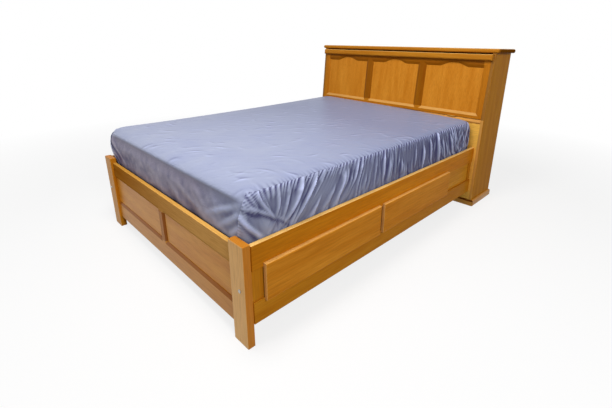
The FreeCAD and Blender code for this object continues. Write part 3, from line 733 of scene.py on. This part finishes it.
# leaves the top with its two drops, and lays the cloth out flat in its UV map
def cutTopSheet(piece, seam):
    foot, head = bedLow.y + sheet["cornerCut"], bedHigh.y - sheet["cornerCut"]
    shape = bmesh.new()
    shape.from_mesh(piece.data)
    cuts = (
        ((0, 0, sheet["hem"]), (0, 0, 1)), ((0, 0, seam), (0, 0, 1)),
        ((0, foot, 0), (0, 1, 0)), ((0, head, 0), (0, 1, 0)),
    )
    for place, normal in cuts:
        everything = shape.verts[:] + shape.edges[:] + shape.faces[:]
        bmesh.ops.bisect_plane(shape, geom=everything, plane_co=place, plane_no=normal)
    unwanted = []
    for face in shape.faces:
        middle = face.calc_center_median()
        underSkirt = middle.z < seam and foot < middle.y < head
        if middle.z < sheet["hem"] or underSkirt:
            unwanted.append(face)
    bmesh.ops.delete(shape, geom=unwanted, context="FACES")
    cloth = shape.loops.layers.uv.new("cloth")
    for face in shape.faces:
        for loop in face.loops:
            co = loop.vert.co
            loop[cloth].uv = (co.x, co.y + (co.z if abs(face.normal.y) > sheet["steep"] else 0))
    shape.to_mesh(piece.data)
    shape.free()


def makeTopSheet():
    piece = mattressSkin("sheet_top_panel", sheet["voxel"], sheet["grow"])
    seam = gather["seam"] - sheet["under"]
    cutTopSheet(piece, seam)
    co = readPlaces(piece)
    x, y, z = co[:, 0], co[:, 1], co[:, 2]
    normals = np.array([vertex.normal[:] for vertex in piece.data.vertices])
    up = ramp(normals[:, 2])
    field = creaseField(x, y) * up ** 2
    lift = creases["lift"] * field
    # painted highlight on the crests of the creases and painted shade in their troughs
    share = sheet["plain"] + (field - field.mean()) / creases["contrast"]
    reach = sheet["tuckReach"]
    edge = ramp((np.abs(x) - (bedHigh.x - reach)) / reach)
    for side, seed in gather["seeds"].items():
        here = (np.where(x > 0, 1, -1) == side) & (z > seam - 1 * mm)
        tuck = puckers(y[here] - bedLow.y, seed)
        lift[here] += sheet["tuckLift"] * gather["depth"] * edge[here] ** 2 * tuck
        share[here] += (tuck - sheet["tuckMiddle"]) * sheet["tuckShade"] * edge[here] ** 2.5

    drop = ramp((sheet["dropTop"] - z) / sheet["dropFade"])
    ridge = 1 - np.abs(noiseAt(x * 5 + 2 * z, z * 9, y)) * 2
    lift += drop * ridge * sheet["wave"]
    blotches, down = sheet["mottle"]
    mottle = noiseAt(x * blotches, z * down, 3.0)
    waveShade = (ridge - sheet["waveMiddle"]) * sheet["waveShade"]
    share += drop * (waveShade + sheet["mottleShade"] * mottle)
    share -= sheet["crownShade"] * ramp((sheet["crownLine"] - z) / sheet["crownFade"])
    for (ax, az), (bx, bz), height, width in footFolds:
        along, across = foldLine(x - ax, z - az, bx - ax, bz - az)
        run = inAndOut(along, *sheet["foldRun"]) * (y < 0)
        ridge = run * bell(across / width)
        hollow = run * bell((np.abs(across) - sheet["hollowAt"] * width) / width)
        lift += drop * ridge * height
        share += drop * (sheet["foldShade"] * ridge - sheet["hollowShade"] * hollow)
    share += sheet["rightShade"] * drop * x / bedHigh.x * (y < 0)

    pastArc = np.abs(x) - (bedHigh.x - bedCorner)
    turned = np.arctan2(np.maximum(pastArc, 0), np.maximum(bedLow.y + bedCorner - y, 1 * mm))
    onFoot = y < bedLow.y + bedCorner
    place = np.where(pastArc > 0, bedCorner * turned, pastArc)
    start = np.interp(z, (skirt["hem"], gather["seam"]), (skirt["startHem"], skirt["startTop"]))
    past = ramp((place - start + sheet["coveredFrom"]) / sheet["coveredFade"])
    covered = onFoot * (z < gather["seam"]) * past
    lift = lift * (1 - covered) - sheet["covered"] * covered
    lift += onFoot * cornerBulge(place, z, x)
    writePlaces(piece, co + normals * lift[:, None])
    markFolds(piece, share)
    applyModifier(piece, "SOLIDIFY", thickness=sheet["thickness"], offset=-1.0)
    finishSoft(piece, satinCotton, "sheet_top")


skirt = {
    "columns": 520, "rows": 30, "hem": 428 * mm, "clear": 3.2 * mm, "thickness": 1.2 * mm, "flat": (2.6, 0.24),
    "startTop": 28 * mm, "startHem": -34 * mm,    # the corner seam leans round on to the foot side
    "fullness": (1.36, 1.03),    # the cut is longer and deeper than the seam it is gathered into
    "frames": 10,
    "tucked": (0.492, 8 * mm), "free": (0.575, 25 * mm),    # room for the folds behind the rail and above it
    "pressed": 0.35,    # share of the folds that is left where there is no room
    "pressFrom": 0.75,    # share of the room that is free
    "sunk": -1.2 * mm,    # the cloth may lie this much closer than it was hung
    # place and height of the folds that the photo shows on from the foot corner
    "cornerFolds": (
        (0.045, 9 * mm), (0.072, 13 * mm), (0.1, 8 * mm), (0.125, 11 * mm), (0.173, 12 * mm), (0.205, 8 * mm),
        (0.25, 10 * mm), (0.31, 21 * mm), (0.36, 14 * mm), (0.404, 23 * mm), (0.445, 10 * mm),
        (0.486, 20 * mm), (0.545, 12 * mm), (0.598, 18 * mm),
    ),
    # the other folds, drawn at random: how far apart, how high and wide, and how much wider on the slack side
    "foldGap": (18 * mm, 48 * mm), "foldHeight": (5 * mm, 18 * mm), "foldWidth": (5 * mm, 10 * mm),
    "foldSlack": (1.3, 2.6), "lastFold": 0.06,
    "foldBegin": (-0.2, -0.1, 0.0, 0.1, 0.25, 0.4), "foldEnd": (0.7, 1.1, 1.4, 1.8),    # shares of the drop
    "foldFade": (0.25, 0.35), "foldRound": 1.6, "foldTop": 0.6,    # narrower at the seam than at the hem
    "sway": 6 * mm, "leanSpread": 0.012, "leanCurve": 1.15,
    "overlap": 0.3,    # share of a lower fold or pucker that adds to a higher one
    # lean of the folds from seam to hem, by their place on from a corner
    "leanAt": (0.0, 0.045, 0.072, 0.12, 0.173, 0.25, 0.33, 0.404, 0.486, 0.598, 0.8, 1.1),
    "lean": (0.2, 0.206, 0.17, 0.09, 0.014, -0.08, -0.15, -0.18, -0.134, -0.082, -0.04, 0.0),
    "headLean": 0.6,    # the head corner pulls its folds less
    # slack folds that hang across from the right foot corner: both ends as place and share of the drop, height,
    # width, how far the middle stands off the straight line, share of painted highlight on the crest and of
    # painted shade on its underside
    "swags": (
        ((0.025, 0.20), (0.240, 0.77), 9 * mm, 8 * mm, 7 * mm, 0.18, 0.32),
        ((-0.005, 0.36), (0.085, 0.84), 8 * mm, 11 * mm, 6 * mm, 0.34, 0.22),
        ((0.015, 0.21), (0.085, 0.40), 4 * mm, 6 * mm, 0 * mm, 0.05, 0.30),
    ),
    "swagRun": (0, 0.15, 1.1, 0.3),
    "swagUnder": 1.6,    # widths from the crest to the painted shade of its underside
    "bulge": {1: 4 * mm, -1: 18 * mm},    # fuller at the foot corners, most at the left
    "bulgeAt": (0.06, 0.09), "bulgeUp": (0.46, 0.19),    # place and reach along, level and height
    "billow": 1.2 * mm, "ripple": 1.2 * mm, "rippleWaves": (34, 17),
    "crumple": 7 * mm, "crumpleWaves": (13, 16), "crumpleAt": (0.3, 0.12),  # crushed folds by the head corners
    "stitch": 1.4 * mm, "stitchReach": 11 * mm, "stitchShade": 1.6,    # stitches of the corner seams, with a painted highlight on them
    "plain": 0.40,    # share of cloth with no fold
    "cornerPale": (0.02, 0.05, 0.08), "leftPale": (0.62, 0.03, 0.1),    # painted light near the foot corners, most at the left: how much, place and reach
    "contrast": ((14, 20 * mm), (4, 10 * mm)),    # painted highlight and shade of the folds: columns around a fold, and height that turns it white
    "livelyAt": (0.9, 1.2, 1.5, 1.85), "lively": (0.65, 1.0, 1.2, 2.2),    # contrast along the side
    "headShade": 0.16, "headShadeAt": (0.5, 0.8),    # painted shade, darker over the far half
    "seamShade": 0.4, "seamMiddle": 0.7, "seamCorner": 0.1,    # painted shade between the puckers, most at the corner
}


# length of a side with both its corners
sideLength = bedHigh.y - bedLow.y - 2 * bedCorner + bedCorner * math.pi


# how far the sheet stands off at the foot corners, s metres on from a corner's start
def cornerBulge(s, z, side):
    (at, reach), (low, high) = skirt["bulgeAt"], skirt["bulgeUp"]
    full = bell((s - at) / reach) * np.sin(np.pi * ramp((z - low) / high))
    return np.where(side > 0, skirt["bulge"][1], skirt["bulge"][-1]) * full


def foldLean(s):
    foot, head = (np.interp(place, skirt["leanAt"], skirt["lean"]) for place in (s, sideLength - s))
    return foot - skirt["headLean"] * head


# place and outward direction on the mattress side, s metres on from the foot corner's start
def onSide(s, inset):
    half, foot, head = bedHigh.x - inset, bedLow.y + inset, bedHigh.y - inset
    arc = bedCorner * math.pi / 2
    straight = head - foot - 2 * bedCorner
    first = ramp(s / arc) * math.pi / 2
    second = ramp((s - arc - straight) / arc) * math.pi / 2
    angle = first + second
    nx, ny = np.sin(angle), -np.cos(angle)
    x = half - bedCorner + bedCorner * nx + np.minimum(s, 0) - np.maximum(s - 2 * arc - straight, 0)
    y = np.where(second > 0, head - bedCorner + bedCorner * ny, foot + bedCorner + bedCorner * ny)
    y = y + np.clip(s - arc, 0, straight) * (second <= 0)
    return x, y, nx, ny


# presses only what stands out past the free part of the room
def fitRoom(out, room):
    free = skirt["pressFrom"] * room
    return np.where(out < free, out, free + (room - free) * np.tanh((out - free) / (room - free)))


def hangingFolds(s, down, draw):
    places = list(skirt["cornerFolds"])
    while places[-1][0] < sideLength - skirt["lastFold"]:
        place = places[-1][0] + draw.uniform(*skirt["foldGap"])
        places.append((place, draw.uniform(*skirt["foldHeight"])))
    folds = np.zeros_like(s)
    fadeIn, fadeOut = skirt["foldFade"]
    for place, height in places:
        lean = foldLean(place) + draw.gauss(0, skirt["leanSpread"])
        steep = draw.uniform(*skirt["foldWidth"])
        slack = steep * draw.uniform(*skirt["foldSlack"])
        begin = draw.choice(skirt["foldBegin"])
        end = draw.choice(skirt["foldEnd"])
        sway = draw.gauss(0, skirt["sway"]) * np.sin(down * draw.uniform(2, 6) + draw.uniform(0, 6))
        middle = place + lean * down ** skirt["leanCurve"] + sway
        width = np.where(s > middle, steep, slack) * (skirt["foldTop"] + skirt["foldTop"] * down)
        rise = inAndOut(down, begin, fadeIn, end, fadeOut)
        folds = np.maximum(folds, height * rise * np.exp(-(np.abs(s - middle) / width) ** skirt["foldRound"]))
    return folds


def slackFolds(s, down):
    deep = gather["seam"] - skirt["hem"]
    lift, shade = np.zeros_like(s), np.zeros_like(s)
    for (fromS, fromD), (toS, toD), height, width, sag, gain, loss in skirt["swags"]:
        along, off = foldLine(s - fromS, (down - fromD) * deep, toS - fromS, (toD - fromD) * deep)
        off = off - sag * 4 * along * (1 - along)
        run = inAndOut(along, *skirt["swagRun"])
        crest = run * bell(off / width)
        lift = np.maximum(lift, height * crest)
        shade += gain * crest - loss * run * bell(off / width + skirt["swagUnder"])
    return lift, shade


# lets the gathered cloth find its own folds between its sewn top and its tucked hem
def settleCloth(piece, cut, sewn, frames):
    piece.shape_key_add(name="gathered")
    flat = piece.shape_key_add(name="cut")
    flat.data.foreach_set("co", cut.reshape(-1))
    group = piece.vertex_groups.new(name="sewn")
    for index in np.nonzero(sewn > 0)[0]:
        group.add([int(index)], float(sewn[index]), "REPLACE")
    cloth = piece.modifiers.new("Cloth", "CLOTH")
    wish = cloth.settings
    wish.rest_shape_key = flat
    wish.vertex_group_mass = "sewn"
    wish.quality = 5
    wish.mass = 0.15
    wish.tension_stiffness = wish.compression_stiffness = 12
    wish.shear_stiffness = 4
    wish.bending_stiffness = 0.012
    wish.tension_damping = wish.compression_damping = 8
    wish.air_damping = 2
    wish.effector_weights.gravity = 0.25
    cloth.collision_settings.distance_min = 2 * mm
    cloth.collision_settings.use_self_collision = False
    cloth.point_cache.frame_start = 1
    cloth.point_cache.frame_end = frames
    for number in range(1, frames + 1):
        bpy.context.scene.frame_set(number)
    settled = readPlaces(piece.evaluated_get(bpy.context.evaluated_depsgraph_get()))
    piece.modifiers.remove(cloth)
    piece.shape_key_clear()
    piece.vertex_groups.clear()
    bpy.context.scene.frame_set(1)
    return settled


# painted highlight where the cloth stands out from what is around it, painted shade where it lies behind
def foldShade(s, down, away, fine):
    pale, paleAt, paleReach = skirt["cornerPale"]
    share = skirt["plain"] + pale * bell((s - paleAt) / paleReach)
    livelier = np.interp(s, skirt["livelyAt"], skirt["lively"])
    for reach, contrast in skirt["contrast"]:
        padded = np.pad(away, ((0, 0), (reach, reach)), mode="edge")
        near = np.mean([padded[:, k:k + s.shape[1]] for k in range(2 * reach + 1)], axis=0)
        share += livelier * (away - near) / contrast
    headFrom, headRun = skirt["headShadeAt"]
    share -= skirt["headShade"] * ramp((s - headFrom) / headRun)
    pinched = skirt["seamShade"] * (1 + bell(s / skirt["seamCorner"]))
    return share - pinched * np.exp(-down / gather["fade"]) * (skirt["seamMiddle"] - fine)


def makeSkirt(name, side):
    seed = gather["seeds"][side]
    draw = random.Random(seed)
    columns, rows = skirt["columns"], skirt["rows"]
    across, down = np.meshgrid(np.linspace(0, 1, columns + 1), np.linspace(0, 1, rows + 1))
    z = gather["seam"] + (skirt["hem"] - gather["seam"]) * down
    start = skirt["startTop"] + (skirt["startHem"] - skirt["startTop"]) * down
    s = start + across * (sideLength - 2 * start)
    inset = np.interp(z, bedLevels, bedInsets)

    fine = puckers(s - foldLean(s) * down, seed)
    out = gather["depth"] * fine * np.exp(-down / gather["fade"])
    folds = hangingFolds(s, down, draw)
    out = np.maximum(out, folds) + skirt["overlap"] * np.minimum(out, folds)
    slack, slackShade = slackFolds(s, down) if side > 0 else (0.0, 0.0)
    out = np.maximum(out, slack)
    billow = np.sin(7.3 * s + draw.uniform(0, 6)) + 0.6 * np.sin(17.1 * s + draw.uniform(0, 6))
    out += skirt["billow"] * (1.6 + billow) * np.sin(np.pi * down) ** 0.8
    reach = skirt["stitchReach"]
    shirr = np.exp(-(s - start) / reach) + np.exp(-(sideLength - start - s) / reach)
    stitches = ramp(shirr) * down * np.abs(np.sin(0.5 * np.pi * rows * down))
    out += skirt["stitch"] * stitches
    (waves, wavesDown), (headReach, headFade) = skirt["crumpleWaves"], skirt["crumpleAt"]
    crushed = np.abs(noiseAt(s * waves, z * wavesDown, seed + 5))
    atHead = ramp((s - sideLength + headReach) / headFade) * np.sin(np.pi * down)
    out = out * (1 - 0.5 * atHead) + skirt["crumple"] * atHead * (1 - 2.4 * crushed)
    waves, wavesDown = skirt["rippleWaves"]
    out += skirt["ripple"] * noiseAt(s * waves, z * wavesDown, seed)
    (tuckedAt, tuckedRoom), (freeAt, freeRoom) = skirt["tucked"], skirt["free"]
    room = np.interp(z, (tuckedAt, freeAt), (tuckedRoom, freeRoom))
    pressed = skirt["pressed"] + (1 - skirt["pressed"]) * room / freeRoom
    out = skirt["clear"] + fitRoom(np.maximum(out, 0) * pressed, room)

    x, y, nx, ny = onSide(s, inset)
    hung = np.stack([side * (x + nx * out), y + ny * out, z], -1).reshape(-1, 3)
    wide = columns + 1
    faces = []
    for row in range(rows):
        for column in range(columns):
            a = row * wide + column
            ring = (a, a + 1, a + wide + 1, a + wide)
            faces.append(ring if side < 0 else ring[::-1])
    mesh = bpy.data.meshes.new(name)
    mesh.from_pydata(hung.tolist(), [], faces)
    piece = bpy.data.objects.new(name, mesh)
    bpy.context.scene.collection.objects.link(piece)
    longer, deeper = skirt["fullness"]
    cut = np.stack([s * longer, 0 * s, z * deeper], -1).reshape(-1, 3)
    cloth = mesh.uv_layers.new(name="cloth")
    for loop in mesh.loops:
        cloth.data[loop.index].uv = (cut[loop.vertex_index][0], cut[loop.vertex_index][2])
    sewn = np.zeros((rows + 1, columns + 1))
    sewn[:2, :] = sewn[-3:, :] = sewn[:, 0] = sewn[:, -1] = 1.0
    hung = settleCloth(piece, cut, sewn.reshape(-1), skirt["frames"])

    # the settled cloth stays in its room, then takes the form of the corners and the head
    outward = np.stack([side * nx, ny, 0 * nx], -1).reshape(-1, 3)
    base = np.stack([side * x, y, z], -1).reshape(-1, 3)
    away = ((hung - base) * outward).sum(1).reshape(s.shape)
    kept = skirt["clear"] + fitRoom(np.maximum(away - skirt["clear"], skirt["sunk"]), room)
    hung = hung + outward * (kept - away + cornerBulge(s, z, side)).reshape(-1, 1)
    hung[:, 2] += headRise(hung[:, 0], hung[:, 1], hung[:, 2])
    writePlaces(piece, hung)
    # painted highlight and shade of the folds and swags, and painted highlight on the stitches
    share = foldShade(s, down, kept, fine) + slackShade + skirt["stitchShade"] * stitches
    # painted light on the left foot corner
    if side < 0:
        pale, paleAt, paleReach = skirt["leftPale"]
        share = np.maximum(share, pale * np.exp(-((s - paleAt) / paleReach) ** 4))
    markFolds(piece, share)
    applyModifier(piece, "SOLIDIFY", thickness=skirt["thickness"], offset=-1.0)
    finishSoft(piece, satinCotton, "sheet_skirt")


satinCotton = wovenSatin("satin woven cotton")
tickingCloth = wovenTicking("woven ticking")
makeMattress()
makeTopSheet()
settlingBlock = bpy.data.objects["mattress_body"]
settlingBlock.modifiers.new("Collision", "COLLISION")
settlingBlock.collision.thickness_outer = 1 * mm
makeSkirt("sheet_skirt_right", 1)
makeSkirt("sheet_skirt_left", -1)
settlingBlock.modifiers.clear()
print("bedding made")


stage = {
    "size": 60.0, "white": "#f4f4f4", "grey": "#8f8f8f",
    "shadowShare": 0.22,          # how much of the shadow the white floor keeps
    "fadeFrom": 2.2, "fadeTo": 4.5,   # metres from the bed over which the floor turns plain white
    "ambient": 0.28,
}


# 1 where the camera, a mirror or glass looks, and 0 for other light
def seenRays(tree):
    path = addNode(tree, "ShaderNodeLightPath").outputs
    seen = path["Is Camera Ray"]
    for ray in ("Is Glossy Ray", "Is Transmission Ray"):
        seen = addNode(tree, "ShaderNodeMath", {0: seen, 1: path[ray]}, operation="MAXIMUM").outputs[0]
    return seen


# white with a light shadow where it is seen; other light bounces off plain grey
def studioFloor():
    material, tree = newMaterial("studio floor")
    place = addNode(tree, "ShaderNodeTexCoord").outputs["Object"]
    away = addNode(tree, "ShaderNodeVectorMath", {0: place}, operation="LENGTH")
    keep = addNode(
        tree, "ShaderNodeMapRange",
        {0: away.outputs["Value"], 1: stage["fadeFrom"], 2: stage["fadeTo"], 3: stage["shadowShare"], 4: 0.0},
    )
    pale = addNode(tree, "ShaderNodeBsdfDiffuse", {"Color": hexColour(stage["white"])})
    white = addNode(tree, "ShaderNodeEmission", {"Color": (1, 1, 1, 1), "Strength": 1.0})
    shown = addNode(tree, "ShaderNodeMixShader", {0: keep.outputs[0], 1: white.outputs[0], 2: pale.outputs[0]})
    grey = addNode(tree, "ShaderNodeBsdfDiffuse", {"Color": hexColour(stage["grey"])})
    mix = addNode(tree, "ShaderNodeMixShader", {0: seenRays(tree), 1: grey.outputs[0], 2: shown.outputs[0]})
    addNode(tree, "ShaderNodeOutputMaterial", {"Surface": mix.outputs[0]})
    bpy.ops.mesh.primitive_plane_add(size=stage["size"])
    floor = bpy.context.object
    floor.name = "floor"
    floor.data.materials.append(material)


def studioWorld():
    world = bpy.data.worlds.new("studio")
    bpy.context.scene.world = world
    world.use_nodes = True
    tree = world.node_tree
    tree.nodes.clear()
    soft = addNode(tree, "ShaderNodeBackground", {"Color": (1, 1, 1, 1), "Strength": stage["ambient"]})
    white = addNode(tree, "ShaderNodeBackground", {"Color": (1, 1, 1, 1), "Strength": 1.0})
    mix = addNode(tree, "ShaderNodeMixShader", {0: seenRays(tree), 1: soft.outputs[0], 2: white.outputs[0]})
    addNode(tree, "ShaderNodeOutputWorld", {"Surface": mix.outputs[0]})


lamps = {
    "overhead": {"at": (0.45, -1.15, 3.0), "to": (0, -0.1, 0.5), "size": 0.9, "watts": 49},
    "window": {"at": (-0.6, -6.3, 2.8), "to": (0.2, -0.2, 0.5), "size": 1.6, "watts": 68},
    "left fill": {"at": (-4.6, -3.2, 2.2), "to": (-0.5, -0.6, 0.6), "size": 1.6, "watts": 14},
    "side window": {"at": (4.5, -1.9, 3.1), "to": (0.8, 0.1, 0.5), "size": 1.3, "watts": 102},
}


def addLamps():
    for name, lamp in lamps.items():
        aim = (Vector(lamp["to"]) - Vector(lamp["at"])).to_track_quat("-Z", "Y").to_euler()
        bpy.ops.object.light_add(type="AREA", location=lamp["at"], rotation=aim)
        light = bpy.context.object
        light.name = name
        light.data.size = lamp["size"]
        light.data.energy = lamp["watts"]


cameraSet = {
    "at": (1.8342, -1.8525, 1.2045),
    "turn": (71.692, -1.129, 43.637),
    "lens": 21.232,
    "shift": (-0.038, -0.0653),
}


def addCamera():
    turn = [math.radians(angle) for angle in cameraSet["turn"]]
    bpy.ops.object.camera_add(location=cameraSet["at"], rotation=turn)
    camera = bpy.context.object
    camera.data.sensor_fit = "HORIZONTAL"
    camera.data.sensor_width = 36
    camera.data.lens = cameraSet["lens"]
    camera.data.shift_x, camera.data.shift_y = cameraSet["shift"]
    camera.data.clip_end = 100
    bpy.context.scene.camera = camera


bpy.ops.object.select_all(action="DESELECT")
studioFloor()
studioWorld()
addLamps()
addCamera()
bpy.context.scene.view_settings.view_transform = "Standard"
print("stage set")
